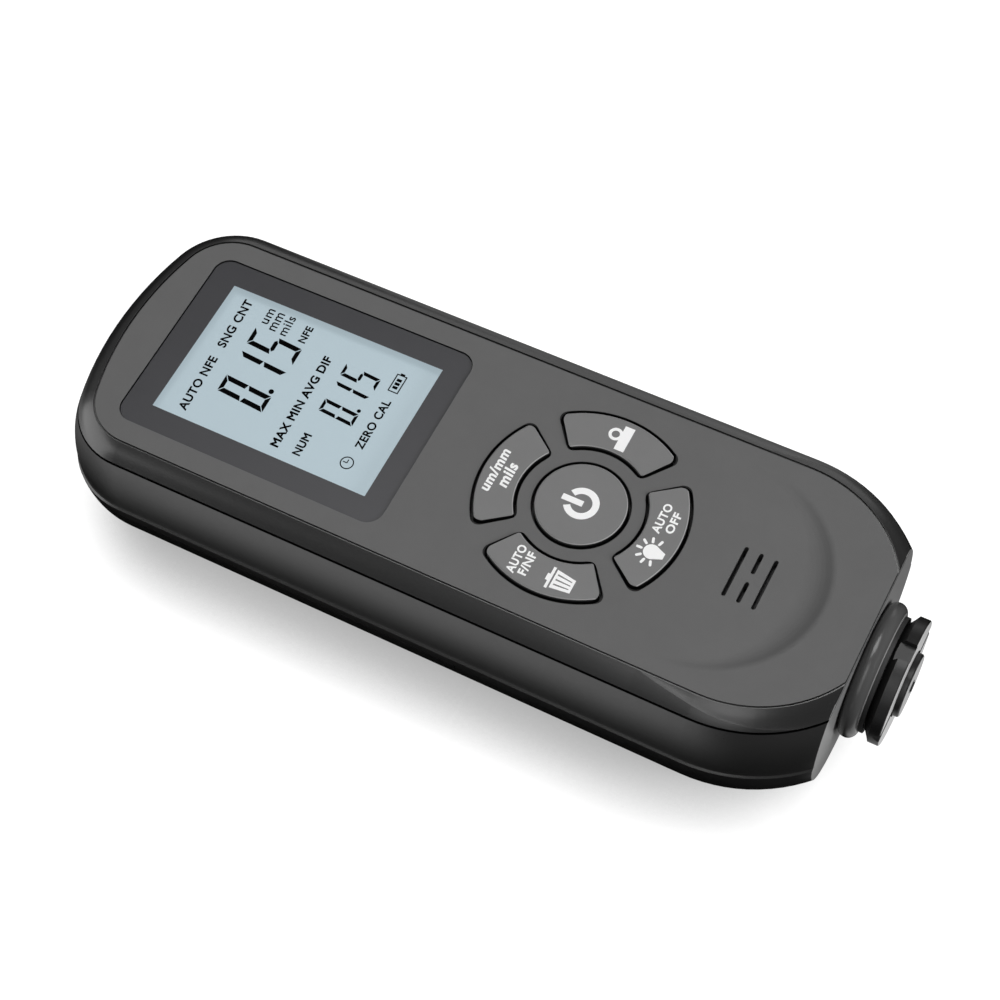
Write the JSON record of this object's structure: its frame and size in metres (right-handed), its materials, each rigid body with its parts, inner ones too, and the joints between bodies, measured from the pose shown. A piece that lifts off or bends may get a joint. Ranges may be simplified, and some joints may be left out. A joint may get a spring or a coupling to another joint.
{
  "type": "coating thickness gauge",
  "caption": "Hand-held coating thickness gauge with a display window, a ring of arc keys round a power key, a thumb dish with sound slots and a sprung measuring head at the probe end.",
  "frame": {"origin": "under the middle of the whole length, on the flat back", "axes": "+X towards the probe, +Z out of the front face, +Y to the side of the zero key"},
  "size_m": [0.1206, 0.0452, 0.025],
  "materials": {
    "front_grey": "fine matte",
    "rear_black": "fine matte",
    "key_grey": "satin",
    "window": "gloss with a dark printed border",
    "display": "pale blue-grey display",
    "light_guide": "milky",
    "gasket": "matte",
    "board": "satin",
    "chip": "matte",
    "contact_metal": "plated",
    "cell": "plain wrapped can",
    "screw_steel": "plain",
    "collar_grey": "satin",
    "sleeve_black": "satin",
    "head_metal": "fine turned",
    "tip_steel": "hard and dark",
    "coil_copper": "enamelled winding"
  },
  "bodies": {
    "body": {"front_shell": "front_grey", "rear_shell": "rear_black", "display_window": "window", "window_gasket": "gasket", "lcd_panel": "display", "backlight": "light_guide", "zebra_strip": "gasket", "main_board": "board", "board_chips": "chip", "key_switches": "contact_metal", "buzzer": "chip", "battery_cells": "cell", "battery_springs": "contact_metal", "battery_plates": "contact_metal", "case_screws": "screw_steel", "probe_collar": "collar_grey", "seal_ring": "gasket", "probe_sleeve": "sleeve_black", "probe_spring": "screw_steel"},
    "door": {"battery_door": "rear_black"},
    "power": {"power_key": "key_grey"},
    "unit": {"unit_key": "key_grey"},
    "lamp": {"lamp_key": "key_grey"},
    "zero": {"zero_key": "key_grey"},
    "mode": {"mode_key": "key_grey"},
    "head": {"measuring_head": "head_metal", "measuring_tip": "tip_steel", "probe_coil": "coil_copper"}
  },
  "joints": [
    {"name": "door_slide", "type": "slide", "parent": "body", "child": "door", "axis": [-1, 0, 0], "range_m": [0, 0.07]},
    {"name": "power_press", "type": "slide", "parent": "body", "child": "power", "axis": [0, 0, -1], "range_m": [0, 0.0006], "stiffness_N_per_m": 600},
    {"name": "unit_press", "type": "slide", "parent": "body", "child": "unit", "axis": [0, 0, -1], "range_m": [0, 0.0006], "stiffness_N_per_m": 600},
    {"name": "lamp_press", "type": "slide", "parent": "body", "child": "lamp", "axis": [0, 0, -1], "range_m": [0, 0.0006], "stiffness_N_per_m": 600},
    {"name": "zero_press", "type": "slide", "parent": "body", "child": "zero", "axis": [0, 0, -1], "range_m": [0, 0.0006], "stiffness_N_per_m": 600},
    {"name": "mode_press", "type": "slide", "parent": "body", "child": "mode", "axis": [0, 0, -1], "range_m": [0, 0.0006], "stiffness_N_per_m": 600},
    {"name": "head_press", "type": "slide", "parent": "body", "child": "head", "axis": [-1, 0, 0], "range_m": [0, 0.00085], "stiffness_N_per_m": 900, "deforming": ["probe_spring"]}
  ]
}
